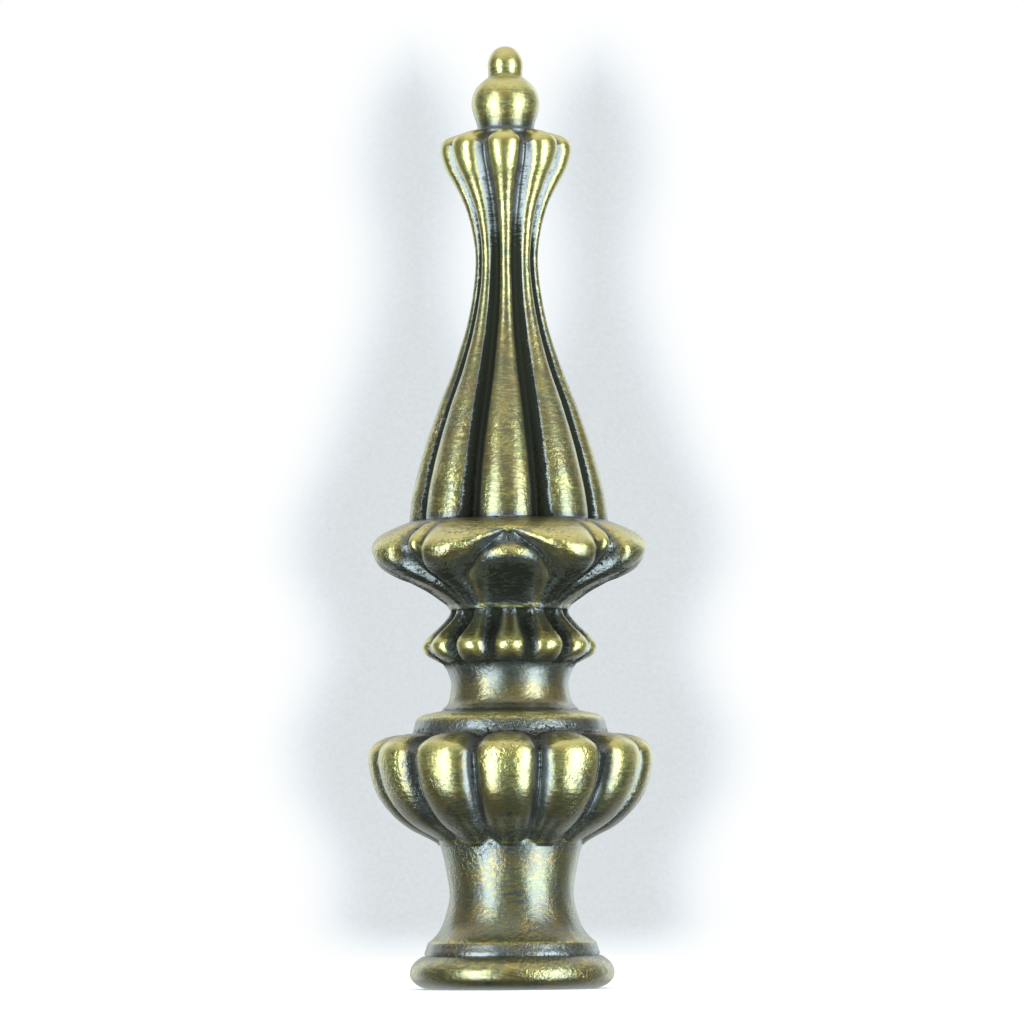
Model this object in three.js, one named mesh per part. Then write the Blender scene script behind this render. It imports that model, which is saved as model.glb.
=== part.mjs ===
// A brass finial, one casting: ball and knob, eight-ribbed crown and spire, lobed skirt with buds,
// twelve-ribbed collar, band, twelve-gadroon bowl, pedestal and round foot with a tapped hole.
// Millimetres, +Z up. The origin is the middle of the flat underside and the spire rises along +Z.
// The middle of one skirt lobe faces -Y.
import * as THREE from 'three';

// Heights of the mouldings, from the foot up
const footHeight = 2.75;
const pedestalHeight = 9.05;
const bowlHeight = 9.15;
const bandHeight = 1.55;
const scotiaHeight = 3.75;
const collarHeight = 4.45;
const skirtHeight = 7.3;
const spireHeight = 21.0;
const crownHeight = 10.2;
const knobHeight = 4.35;
const ballHeight = 2.45;

// Radii at the places where the outline turns
const undersideRadius = 7.1;
const footRadius = 8.22;
const footCreaseRadius = 7.15;
const lipRadius = 6.8;
const waistRadius = 5.0;
const bowlFootRadius = 5.72;
const bowlRadius = 11.46;
const bandRadius = 7.75;
const bandLedge = 0.06;
const bandTopRadius = 5.5;
const scotiaRadius = 4.72;
const collarRadius = 7.02;
const collarTopRadius = 4.82;
const skirtRadius = 11.85;
const spireFootRadius = 7.95;
const neckRadius = 2.54;
const crownRadius = 5.3;
const knobSeatRadius = 2.3;
const knobRadius = 2.74;
const ballSeatRadius = 1.34;
const ballRadius = 1.42;

// Ribs and gadroons: how many, how far each set is turned, and how deep the channels between them are
const ribCount = 8;
const ribTurn = -2;
const ribChannelDepth = 1.55;
const neckChannelDepth = 0.6;
const crownChannelDepth = 1.1;
const collarRibCount = 12;
const collarChannelDepth = 1.2;
const gadroonCount = 12;
const gadroonTurn = -1.7;
const gadroonChannelDepth = 1.3;

// Skirt: four big lobes, each of two cheeks round a bud, with a small lobe in every gap
const lobeCount = 4;
const budRadius = 9.9;
const budCreaseRadius = 9.0;
const smallLobeRadius = 10.6;
const gapRadius = 8.8;
const gapAngle = 38;

// The tapped hole that takes the stud
const holeDiameter = 6.35;
const holeDepth = 12;
const drillPointDepth = 1.6;
const holeChamfer = 0.35;

// Columns round a plain ring
const plainColumns = 32;

const degree = Math.PI / 180;
const mix = (from, to, share) => from + (to - from) * share;

// A smooth curve through rows of numbers, one row a point: radius, height, then whatever else goes with it.
// It gives as many rows as steps asks for between each two points.
function smoothRows(points, steps = 1) {
  const tracks = points[0].map((_, k) => new THREE.SplineCurve(points.map((p) => new THREE.Vector2(p[k], 0))));
  const total = (points.length - 1) * steps;
  return Array.from({ length: total + 1 }, (_, i) => tracks.map((track) => track.getPoint(i / total).x));
}

// A plain turned ring.
function plainRing(radius, height) {
  return Array.from({ length: plainColumns }, (_, j) => ringPoint(radius, height, (360 * j) / plainColumns));
}

// A point at an angle in degrees round the axis, with angle 0 facing -Y.
function ringPoint(radius, height, angle) {
  return { angle, at: [radius * Math.sin(angle * degree), -radius * Math.cos(angle * degree), height] };
}

// Height of a rib over its channel: 1 on the crest, edgeLevel at the rib's edge, as a round arc between.
const edgeRoundness = 0.86;
function ribLevel(share, edgeLevel) {
  const arc = Math.sqrt(1 - (edgeRoundness * share) ** 2);
  const edgeArc = Math.sqrt(1 - edgeRoundness ** 2);
  return edgeLevel + ((1 - edgeLevel) * (arc - edgeArc)) / (1 - edgeArc);
}

// Rings of a ribbed moulding. Rows are radius and height of the crest, channel depth and half width in degrees.
// A channel is sunk at right angles to the outline, so the ribs' ends are rounded like fingertips, or straight
// towards the axis where the outline turns too tightly for that.
function ribbedRings(rows, { count, turn, shoulders, edgeLevel, towardsAxis = false }) {
  const pitch = 360 / count;
  return rows.map(([radius, height, depth, halfWidth], i) => {
    const before = rows[Math.max(i - 1, 0)];
    const after = rows[Math.min(i + 1, rows.length - 1)];
    const run = Math.hypot(after[0] - before[0], after[1] - before[1]);
    const outward = towardsAxis ? [1, 0] : [(after[1] - before[1]) / run, (before[0] - after[0]) / run];
    const ring = [];
    const add = (angle, level) => {
      const sunk = depth * (1 - level);
      ring.push(ringPoint(radius - outward[0] * sunk, height - outward[1] * sunk, turn + angle));
    };
    for (let k = 0; k < count; k++) {
      const middle = k * pitch;
      for (const share of shoulders) add(middle + share * halfWidth, ribLevel(share, edgeLevel));
      add(middle + pitch / 2, 0);
      for (const share of shoulders.slice(1).reverse()) {
        add(middle + pitch - share * halfWidth, ribLevel(share, edgeLevel));
      }
    }
    return ring;
  });
}

// Heights at which each moulding starts
const starts = [0];
for (const height of [footHeight, pedestalHeight, bowlHeight, bandHeight, scotiaHeight, collarHeight, skirtHeight,
  spireHeight, crownHeight, knobHeight, ballHeight]) starts.push(starts.at(-1) + height);
const [, pedestalStart, bowlStart, bandStart, scotiaStart, collarStart, skirtStart, spireStart, crownStart, knobStart,
  ballStart, top] = starts;

// The hole, from its drill point down to the chamfered mouth, and the flat underside round it
function holeAndUnderside() {
  const holeRadius = holeDiameter / 2;
  return [
    [{ angle: 0, at: [0, 0, holeDepth + drillPointDepth] }],
    plainRing(holeRadius, holeDepth),
    plainRing(holeRadius, holeChamfer),
    plainRing(holeRadius + holeChamfer, 0),
    plainRing(undersideRadius, 0),
  ];
}

// The round foot: two quarter ellipses that meet at the widest place.
function foot() {
  const widest = footHeight * 0.52;
  const lower = [0.2, 0.45, 0.72, 1].map((share) => {
    const turned = (share * Math.PI) / 2;
    return plainRing(mix(undersideRadius, footRadius, Math.sin(turned)), widest * (1 - Math.cos(turned)));
  });
  const upper = [0.35, 0.7, 1].map((share) => {
    const turned = (share * Math.PI) / 2;
    return plainRing(mix(footCreaseRadius, footRadius, Math.cos(turned)), mix(widest, footHeight, Math.sin(turned)));
  });
  return [...lower, ...upper];
}

// The pedestal: a steep lip, then a hollow that narrows to the waist and opens again under the bowl.
function pedestal() {
  const at = (share) => pedestalStart + pedestalHeight * share;
  const rows = smoothRows([
    [lipRadius, at(0.11)],
    [mix(waistRadius, lipRadius, 0.4), at(0.26)],
    [waistRadius, at(0.57)],
    [mix(waistRadius, bowlFootRadius, 0.42), at(0.8)],
    [bowlFootRadius, at(1)],
  ], 2);
  return rows.map(([radius, height]) => plainRing(radius, height));
}

// The bowl: gadroons that swell to the widest place and turn over a rounded shoulder at the top.
function bowl() {
  const at = (share) => bowlStart + bowlHeight * share;
  const half = 360 / gadroonCount / 2;
  const bowlTopRadius = bandRadius + bandLedge;
  const rows = smoothRows([
    [mix(bowlFootRadius, bowlRadius, 0.03), at(0.01), 0.25 * gadroonChannelDepth, 0.7 * half],
    [mix(bowlFootRadius, bowlRadius, 0.44), at(0.17), 0.6 * gadroonChannelDepth, 0.78 * half],
    [mix(bowlFootRadius, bowlRadius, 0.84), at(0.43), 0.92 * gadroonChannelDepth, 0.82 * half],
    [bowlRadius, at(0.76), gadroonChannelDepth, 0.83 * half],
    [mix(bowlTopRadius, bowlRadius, 0.9), at(0.89), 0.95 * gadroonChannelDepth, 0.83 * half],
    [mix(bowlTopRadius, bowlRadius, 0.6), at(0.97), 0.8 * gadroonChannelDepth, 0.8 * half],
    [bowlTopRadius, at(0.985), 0.2 * gadroonChannelDepth, 0.7 * half],
  ], 2);
  return ribbedRings(rows, { count: gadroonCount, turn: gadroonTurn, shoulders: [0, 0.6, 1], edgeLevel: 0.46 });
}

// The band: a cove that rises from the gadroons' tops to a rounded edge, and a nearly flat top.
function band() {
  const at = (share) => bandStart + bandHeight * share;
  return [
    plainRing(bandRadius, at(0.08)),
    plainRing(mix(bandTopRadius, bandRadius, 0.92), at(0.35)),
    plainRing(mix(bandTopRadius, bandRadius, 0.87), at(0.58)),
    plainRing(mix(bandTopRadius, bandRadius, 0.75), at(0.79)),
    plainRing(mix(bandTopRadius, bandRadius, 0.5), at(0.93)),
    plainRing(bandTopRadius, at(1)),
  ];
}

// The smooth hollow between the band and the collar.
function scotia() {
  const at = (share) => scotiaStart + scotiaHeight * share;
  const rows = smoothRows([
    [mix(scotiaRadius, bandTopRadius, 0.35), at(0.1)],
    [mix(scotiaRadius, bandTopRadius, 0.1), at(0.3)],
    [scotiaRadius, at(0.6)],
    [mix(scotiaRadius, collarRadius, 0.08), at(0.85)],
  ], 1);
  return rows.map(([radius, height]) => plainRing(radius, height));
}

// The collar: ribs that rise from the hollow, swell to knuckles and lean in to the skirt.
function collar() {
  const at = (share) => collarStart + collarHeight * share;
  const half = 360 / collarRibCount / 2;
  const rows = smoothRows([
    [mix(scotiaRadius, collarRadius, 0.22), at(0), 0.05 * collarChannelDepth, 0.7 * half],
    [mix(scotiaRadius, collarRadius, 0.5), at(0.07), 0.4 * collarChannelDepth, 0.72 * half],
    [mix(scotiaRadius, collarRadius, 0.83), at(0.155), 0.75 * collarChannelDepth, 0.75 * half],
    [mix(scotiaRadius, collarRadius, 0.97), at(0.24), 0.95 * collarChannelDepth, 0.76 * half],
    [collarRadius, at(0.33), collarChannelDepth, 0.76 * half],
    [mix(collarTopRadius, collarRadius, 0.86), at(0.44), 0.95 * collarChannelDepth, 0.75 * half],
    [mix(collarTopRadius, collarRadius, 0.68), at(0.54), 0.85 * collarChannelDepth, 0.73 * half],
    [mix(collarTopRadius, collarRadius, 0.42), at(0.66), 0.75 * collarChannelDepth, 0.7 * half],
    [mix(collarTopRadius, collarRadius, 0.08), at(0.86), 0.45 * collarChannelDepth, 0.62 * half],
    [collarTopRadius, at(0.97), 0.2 * collarChannelDepth, 0.6 * half],
  ], 1);
  return ribbedRings(rows, { count: collarRibCount, turn: 0, shoulders: [0, 0.6, 1], edgeLevel: 0.6,
    towardsAxis: true });
}

// The skirt, from the collar up. Each row holds the outline of a cheek, the bud's middle, the crease round the bud,
// the small lobe and the gap beside it, all as radius and height, then the half width of the bud and the lobe.
function skirt() {
  const at = (share) => skirtStart + skirtHeight * share;
  const seat = collarTopRadius * 1.01;
  const shelf = spireFootRadius * 1.005;
  const rows = smoothRows([
    [seat, at(0), seat, at(0), seat, at(0.01), seat, at(0), seat, at(0), 33, 43],
    [mix(seat, skirtRadius, 0.35), at(0.22), mix(seat, budRadius, 0.38), at(0.19), mix(seat, budCreaseRadius, 0.34),
      at(0.21), mix(seat, gapRadius, 0.5), at(0.25), mix(seat, gapRadius, 0.4), at(0.25), 29, 41],
    [mix(seat, skirtRadius, 0.7), at(0.385), mix(seat, budRadius, 0.74), at(0.37), mix(seat, budCreaseRadius, 0.7),
      at(0.37), mix(seat, gapRadius, 0.97), at(0.42), mix(seat, gapRadius, 0.78), at(0.42), 25, 39],
    [mix(seat, skirtRadius, 0.9), at(0.49), mix(seat, budRadius, 0.95), at(0.52), mix(seat, budCreaseRadius, 0.92),
      at(0.5), mix(seat, smallLobeRadius, 0.88), at(0.54), mix(seat, gapRadius, 0.98), at(0.53), 21, gapAngle],
    [skirtRadius, at(0.63), budRadius, at(0.66), budCreaseRadius, at(0.64), smallLobeRadius, at(0.68), gapRadius,
      at(0.66), 13.5, gapAngle],
    [mix(shelf, skirtRadius, 0.96), at(0.75), mix(shelf, budRadius, 0.86), at(0.78), budCreaseRadius, at(0.76),
      mix(shelf, smallLobeRadius, 0.97), at(0.79), mix(shelf, gapRadius, 0.9), at(0.78), 7, gapAngle],
    [mix(shelf, skirtRadius, 0.78), at(0.85), mix(shelf, budRadius, 0.66), at(0.87), mix(shelf, budCreaseRadius, 0.88),
      at(0.87), mix(shelf, smallLobeRadius, 0.78), at(0.87), mix(shelf, gapRadius, 0.7), at(0.86), 3.5, gapAngle],
    [shelf, at(0.965), shelf, at(0.965), shelf, at(0.965), shelf, at(0.965), shelf, at(0.965), 3, gapAngle],
  ], 2);
  const pitch = 360 / lobeCount;
  return rows.map(([cheekR, cheekZ, budR, budZ, creaseR, creaseZ, smallR, smallZ, gapR, gapZ, budHalf, lobeHalf]) => {
    // Half a lobe from its middle to the middle of the small lobe: angle, radius and height of each column
    const between = (angle, fromR, toR, fromZ, toZ, level) => [angle, mix(fromR, toR, level), mix(fromZ, toZ, level)];
    const columns = [
      [0, budR, budZ],
      between(0.66 * budHalf, creaseR, budR, creaseZ, budZ, 0.85),
      [budHalf, creaseR, creaseZ],
      between(mix(budHalf, lobeHalf, 0.17), creaseR, cheekR, creaseZ, cheekZ, 0.78),
      between(mix(budHalf, lobeHalf, 0.5), creaseR, cheekR, creaseZ, cheekZ, 1),
      between(mix(budHalf, lobeHalf, 0.86), gapR, cheekR, gapZ, cheekZ, 0.82),
      [lobeHalf, gapR, gapZ],
      between(mix(lobeHalf, pitch / 2, 0.4), gapR, smallR, gapZ, smallZ, 0.82),
      [pitch / 2, smallR, smallZ],
    ];
    const ring = [];
    for (let k = 0; k < lobeCount; k++) {
      for (const [angle, radius, height] of columns) ring.push(ringPoint(radius, height, k * pitch + angle));
      for (const [angle, radius, height] of columns.slice(1, -1).reverse()) {
        ring.push(ringPoint(radius, height, (k + 1) * pitch - angle));
      }
    }
    return ring;
  });
}

// The spire and the crown are one run of ribs: wide on the skirt, narrow at the neck, swelling to the crown
// and turning over into fingertips round the knob.
function spireAndCrown() {
  const low = (share) => spireStart + spireHeight * share;
  const high = (share) => crownStart + crownHeight * share;
  const inner = knobSeatRadius * 1.08;
  const spire = (radiusShare, heightShare, halfWidth) => [mix(neckRadius, spireFootRadius, radiusShare),
    low(heightShare), mix(neckChannelDepth, ribChannelDepth, radiusShare), halfWidth];
  const crown = (radiusShare, heightShare, halfWidth) => [mix(neckRadius, crownRadius, radiusShare),
    high(heightShare), mix(neckChannelDepth, crownChannelDepth, radiusShare), halfWidth];
  const rows = smoothRows([
    spire(1, 0, 16.5),
    spire(0.93, 0.124, 16.4),
    spire(0.784, 0.261, 16),
    spire(0.58, 0.415, 15),
    spire(0.344, 0.568, 13.5),
    spire(0.153, 0.721, 12.3),
    spire(0.03, 0.876, 11.5),
    crown(0, 0, 11.3),
    crown(0.074, 0.189, 12),
    crown(0.254, 0.38, 13.5),
    crown(0.583, 0.57, 15),
    crown(0.859, 0.698, 16),
    crown(1, 0.827, 16),
    crown(0.94, 0.906, 16),
    [mix(inner, crownRadius, 0.79), high(0.957), 0.85 * crownChannelDepth, 15.5],
    [mix(inner, crownRadius, 0.5), high(0.985), 0.65 * crownChannelDepth, 14.5],
    [mix(inner, crownRadius, 0.16), high(0.99), 0.4 * crownChannelDepth, 13],
  ], 1);
  return ribbedRings(rows, { count: ribCount, turn: ribTurn, shoulders: [0, 0.45, 0.8, 1], edgeLevel: 0.55 });
}

// The knob on its recessed seat, and the ball on the knob.
function knobAndBall() {
  const knob = (share) => knobStart + knobHeight * share;
  const rows = smoothRows([
    [knobSeatRadius, knob(0.01)],
    [mix(knobSeatRadius, knobRadius, 0.45), knob(0.18)],
    [knobRadius, knob(0.49)],
    [mix(ballSeatRadius, knobRadius, 0.86), knob(0.71)],
    [mix(ballSeatRadius, knobRadius, 0.5), knob(0.87)],
    [ballSeatRadius, knob(0.98)],
  ], 1).map(([radius, height]) => plainRing(radius, height));
  for (const share of [0.2, 0.45, 0.7, 0.88]) {
    const turned = mix(-0.12, 0.5, share) * Math.PI;
    rows.push(plainRing(ballRadius * Math.cos(turned), mix(ballStart, top, 0.42) + ballHeight * 0.58 * Math.sin(turned)));
  }
  rows.push([{ angle: 0, at: [0, 0, top] }]);
  return rows;
}

// Skins a stack of rings, each running the same way round, into one closed surface.
// Between two rings it walks round both and takes the shorter step in angle, so their columns may differ in number.
function skin(rings) {
  const places = [];
  const faces = [];
  const firsts = rings.map((ring) => {
    const first = places.length / 3;
    for (const point of ring) places.push(...point.at);
    return first;
  });
  for (let r = 0; r + 1 < rings.length; r++) {
    const [a, b] = [rings[r], rings[r + 1]];
    const at = (ring, i) => ring[i % ring.length].angle + 360 * Math.floor(i / ring.length);
    const inA = (i) => firsts[r] + (i % a.length);
    const inB = (i) => firsts[r + 1] + (i % b.length);
    const [stepsA, stepsB] = [a.length > 1 ? a.length : 0, b.length > 1 ? b.length : 0];
    let [i, j] = [0, 0];
    while (i < stepsA || j < stepsB) {
      const alike = stepsA === stepsB;
      const takeA = alike ? i <= j : j >= stepsB || (i < stepsA && at(a, i + 1) <= at(b, j + 1));
      if (takeA) {
        faces.push(inA(i), inA(i + 1), inB(j));
        i++;
      } else {
        faces.push(inA(i), inB(j + 1), inB(j));
        j++;
      }
    }
  }
  const geometry = new THREE.BufferGeometry();
  geometry.setAttribute('position', new THREE.Float32BufferAttribute(places, 3));
  geometry.setIndex(faces);
  geometry.computeVertexNormals();
  return geometry;
}

const brass = new THREE.MeshStandardMaterial({ color: 0x8a7a3c, roughness: 0.35, metalness: 1 });
const finial = new THREE.Mesh(skin([...holeAndUnderside(), ...foot(), ...pedestal(), ...bowl(), ...band(),
  ...scotia(), ...collar(), ...skirt(), ...spireAndCrown(), ...knobAndBall()]), brass);
finial.name = 'finial';

const group = new THREE.Group();
group.add(finial);
export default group;
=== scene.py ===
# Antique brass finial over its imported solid: one casting, worked out as one grid of rings round the axis.
import math

import bpy
import numpy as np
from mathutils import Matrix, Vector


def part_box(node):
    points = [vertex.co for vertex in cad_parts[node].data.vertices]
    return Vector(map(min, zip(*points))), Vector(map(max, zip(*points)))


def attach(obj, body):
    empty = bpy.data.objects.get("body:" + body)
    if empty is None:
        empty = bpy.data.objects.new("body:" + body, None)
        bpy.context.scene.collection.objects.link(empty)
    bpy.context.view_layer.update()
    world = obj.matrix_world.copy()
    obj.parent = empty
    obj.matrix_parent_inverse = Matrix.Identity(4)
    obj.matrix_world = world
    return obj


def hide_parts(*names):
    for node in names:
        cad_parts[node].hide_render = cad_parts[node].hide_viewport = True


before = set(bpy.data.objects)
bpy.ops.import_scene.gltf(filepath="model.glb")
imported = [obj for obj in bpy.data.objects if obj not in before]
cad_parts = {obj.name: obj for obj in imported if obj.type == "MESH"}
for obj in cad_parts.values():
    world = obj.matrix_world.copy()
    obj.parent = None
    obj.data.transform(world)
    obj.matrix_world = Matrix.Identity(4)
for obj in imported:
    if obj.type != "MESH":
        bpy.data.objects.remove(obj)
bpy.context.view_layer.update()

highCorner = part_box("finial")[1]
mm = 0.001
tiny = 1e-9  # added to a length before something is divided by it
print("frame loaded, finial is %.1f mm high" % (highCorner.z / mm))


# Camera at the photograph's viewing angle: close, near the foot's level, looking slightly up
camera = dict(
    distance=485 * mm,
    height=8 * mm,
    aimHeight=38.27 * mm,
    aimSide=0.27 * mm,
    roll=0.445,             # degrees, the axis leans a little to the left at the top
    frameWidth=82.43 * mm,  # what the picture spans at the axis
    sensorWidth=36,
    nearest=0.01,
    farthest=20,
)


def makeCamera(c):
    data = bpy.data.cameras.new("camera")
    cam = bpy.data.objects.new("camera", data)
    bpy.context.scene.collection.objects.link(cam)
    eye = Vector((c["aimSide"], -c["distance"], c["height"]))
    aim = Vector((c["aimSide"], 0, c["aimHeight"]))
    look = (aim - eye).to_track_quat("-Z", "Y").to_matrix().to_4x4()
    roll = Matrix.Rotation(math.radians(-c["roll"]), 4, "Z")
    cam.matrix_world = Matrix.Translation(eye) @ look @ roll
    data.sensor_width = c["sensorWidth"]
    data.lens = data.sensor_width * (aim - eye).length / c["frameWidth"]
    data.clip_start = c["nearest"]
    data.clip_end = c["farthest"]
    bpy.context.scene.camera = cam


makeCamera(camera)
print("camera placed")


# The casting's grid has this many points round the axis, a number that the counts of ribs and lobes
# divide. All its sizes are in millimetres, and the mouldings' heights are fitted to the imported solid's
columns = 264
heights = dict(foot=2.65, pedestal=9.0, bowl=9.1, band=1.55, scotia=3.75, collar=4.45,
               skirt=7.3, spire=21.05, crown=10.3, knob=4.4, ball=2.45)
fit = highCorner.z / mm / sum(heights.values())
heights = {moulding: height * fit for moulding, height in heights.items()}
levels = np.cumsum([0, *heights.values()]).tolist()
start = dict(zip(heights, levels))
top = levels[-1]


def mix(a, b, share):
    return a + (b - a) * share


# 0 up to low, 1 from high on and a smooth cubic between; with low above high it falls instead
def smoothStep(low, high, x):
    t = np.clip((x - low) / (high - low), 0, 1)
    return t * t * (3 - 2 * t)


# Key rows of a moulding, from a table whose rows hold two of its radii by name, the share of the way from
# the first to the second, the share of the moulding's height, and what stays as it is. The last is always
# the polish, which runs from 1, rubbed bright, through 0, black, down to dull dirt below 0; under the
# skirt's lobes the values below 0 are painted shade
def keyRows(s, moulding):
    return [(mix(s[near], s[far], out), start[moulding] + heights[moulding] * up, *rest)
            for near, far, out, up, *rest in s["keys"]]


# A smooth run through key rows: a Catmull-Rom curve in every column of the table, sampled finely, then
# divided evenly along its length in radius and height; crowd draws the rows to the creases at both ends
samplesPerKey = 40


def runThrough(keys, rings, crowd):
    keys = np.array(keys, float)
    last = len(keys) - 1
    fine = np.linspace(0, last, last * samplesPerKey + 1)
    i = np.minimum(fine.astype(int), last - 1)
    t = (fine - i)[:, None]
    p0, p1, p2, p3 = (keys[np.clip(i + k, 0, last)] for k in (-1, 0, 1, 2))
    rows = p1 + 0.5 * t * (p2 - p0 + t * (2 * p0 - 5 * p1 + 4 * p2 - p3 + t * (3 * (p1 - p2) + p3 - p0)))
    along = np.concatenate([[0], np.cumsum(np.hypot(*np.diff(rows[:, :2], axis=0).T))])
    share = np.linspace(0, 1, rings)
    share = mix(share, (1 - np.cos(np.pi * share)) / 2, crowd) * along[-1]
    return np.stack([np.interp(share, along, rows[:, k]) for k in range(rows.shape[1])], 1)


# Radius, height, angle and polish of a plain turned moulding, the same all the way round
def turned(rows):
    angle = np.linspace(0, 360, columns, endpoint=False)[None, :]
    one = np.ones((len(rows), columns))
    return rows[:, :1] * one, rows[:, 1:2] * one, angle * one, rows[:, 2:3] * one


# A ribbed moulding from rows of crest radius, crest height, channel depth, rib half width in degrees and
# polish. Across a rib the level falls from 1 on the crest to the edge's level as a round arc; across the
# channel it goes on at the same slope, up to the steepest, and flattens to 0 in the middle, as a cubic
# does. The surface is sunk by depth times what the level lacks, square to the outline or straight towards
# the axis. The polish begins at the level rubbedFrom times the edge's, and is full when rubbedAt of the
# way from the edge to the crest is climbed
ribForm = dict(share=0.72, roundness=0.86, steepest=2.6)


def ribbed(rows, count, s, towardsAxis=False):
    edge, plump, roundness = s["edge"], s["plump"], ribForm["roundness"]
    perRib = columns // count
    f = np.arange(columns) % perRib / perRib
    side = np.where(f > 0.5, -1, 1)
    f = np.minimum(f, 1 - f)
    ribEnds = ribForm["share"] / 2
    onRib = np.clip(f / ribEnds, 0, 1)[None, :]
    inChannel = np.clip((f - ribEnds) / (0.5 - ribEnds), 0, 1)[None, :]
    pitch = 360 / count
    half = rows[:, 3:4]
    offset = onRib * half + inChannel * (pitch / 2 - half)
    middle = (np.arange(columns) // perRib + (side < 0)) * pitch
    angle = s["turn"] + middle[None, :] + side[None, :] * offset
    arc = (1 - (roundness * onRib) ** plump) ** (1 / plump)
    edgeArc = (1 - roundness ** plump) ** (1 / plump)
    onCrest = edge + (1 - edge) * (arc - edgeArc) / (1 - edgeArc)
    edgeSlope = (1 - edge) * roundness ** plump * edgeArc ** (1 - plump) / (1 - edgeArc)
    edgeSlope = np.minimum(edgeSlope * (pitch / 2 - half) / half, ribForm["steepest"] * edge)
    inHollow = (edge * (1 + 2 * inChannel) - edgeSlope * inChannel) * (1 - inChannel) ** 2
    level = np.where(inChannel > 0, inHollow, onCrest)
    slope = np.gradient(rows[:, :2], axis=0)
    slope /= np.hypot(slope[:, 0], slope[:, 1])[:, None] + tiny
    outward = np.stack([slope[:, 1], -slope[:, 0]], 1)
    if towardsAxis:
        outward = np.tile([1.0, 0.0], (len(rows), 1))
    sunk = rows[:, 2:3] * (1 - level)
    polish = rows[:, 4:5] * smoothStep(edge * s["rubbedFrom"], mix(edge, 1, s["rubbedAt"]), level)
    return rows[:, :1] - outward[:, :1] * sunk, rows[:, 1:2] - outward[:, 1:] * sunk, angle, polish


# Round foot: a quarter ellipse out to the widest place and a hollower one back to the crease, over the
# flat underside and the threaded hole, whose threads are grooves one above the other
footShape = dict(
    underside=6.4, widest=8.22, crease=7.1, belly=0.49, hollowness=1.65, rounding=0.25, flatRing=0.6,
    quarterRings=10, hole=6.35, holeDepth=12.0, drillPoint=1.6, drillTip=0.02, chamfer=0.45,
    threads=12, threadDepth=0.42, runOut=0.4, holePolish=0.75, undersidePolish=0.35,
    # polish from the start to the end of each quarter, and the power with which it changes
    bellyPolish=(0.0, 0.36), bellyFade=4, upperPolish=(0.45, 0.2), upperFade=6)


def foot(s):
    z0, h = start["foot"], heights["foot"]
    r, depth = s["hole"] / 2, s["threadDepth"]
    pitch = (s["holeDepth"] - s["chamfer"] - s["runOut"]) / s["threads"]
    z = s["holeDepth"] - s["runOut"] - np.arange(s["threads"]) * pitch
    crests = np.stack([np.full(len(z), r - depth), z], 1)
    roots = np.stack([np.full(len(z), r), z - pitch / 2], 1)
    end = [(s["drillTip"], s["holeDepth"] + s["drillPoint"]), (r - depth, s["holeDepth"])]
    mouth = [(r - depth / 2, s["chamfer"]), (r + s["chamfer"], 0),
             (mix(r, s["underside"], s["flatRing"]), 0), (s["underside"] - s["rounding"], 0)]
    bore = np.concatenate([end, np.stack([crests, roots], 1).reshape(-1, 2), mouth])
    borePolish = np.where(bore[:, 1] > 0, s["holePolish"], s["undersidePolish"])
    lower = np.radians(np.linspace(0, 90, s["quarterRings"]))
    upper = lower[1:]
    belly = h * s["belly"]
    below = np.stack([mix(s["underside"], s["widest"], np.sin(lower)), z0 + belly * (1 - np.cos(lower)),
                      mix(*s["bellyPolish"], np.sin(lower) ** s["bellyFade"])], 1)
    above = np.stack([mix(s["crease"], s["widest"], np.cos(upper) ** s["hollowness"]),
                      z0 + mix(belly, h, np.sin(upper)),
                      mix(*s["upperPolish"], np.sin(upper) ** s["upperFade"])], 1)
    return turned(np.concatenate([np.column_stack([bore, borePolish]), below, above]))


# Pedestal: a crease over the foot, a steep bright lip, then a hollow to the waist that opens under the
# bowl. The lip's keys are millimetres out from its radius and up from the crease, and the polish
pedestalShape = dict(
    lip=6.98, lipTop=6.78, waist=5.0, under=5.72, lipRings=8, rings=26, crowd=0.2,
    lipKeys=[(-0.03, 0.02, 0.05), (0.06, 0.2, 0.12), (-0.08, 0.6, 0.15), (-0.2, 0.98, 0.3)],
    keys=[("lip", "lipTop", 1.3, 0.12, 0.6), ("waist", "lipTop", 0.7, 0.165, 0.48),
          ("waist", "lipTop", 0.38, 0.25, 0.42), ("waist", "lipTop", 0.15, 0.37, 0.42),
          ("waist", "under", -0.0417, 0.55, 0.4), ("waist", "under", 0.4, 0.8, 0.4),
          ("waist", "under", 0.8, 0.94, 0.3), ("waist", "under", 1, 0.99, 0.15)])


def pedestal(s):
    lip = [(s["lip"] + out, start["pedestal"] + up, polish) for out, up, polish in s["lipKeys"]]
    hollow = runThrough(keyRows(s, "pedestal"), s["rings"], s["crowd"])
    return turned(np.concatenate([runThrough(lip, s["lipRings"], 0), hollow]))


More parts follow.
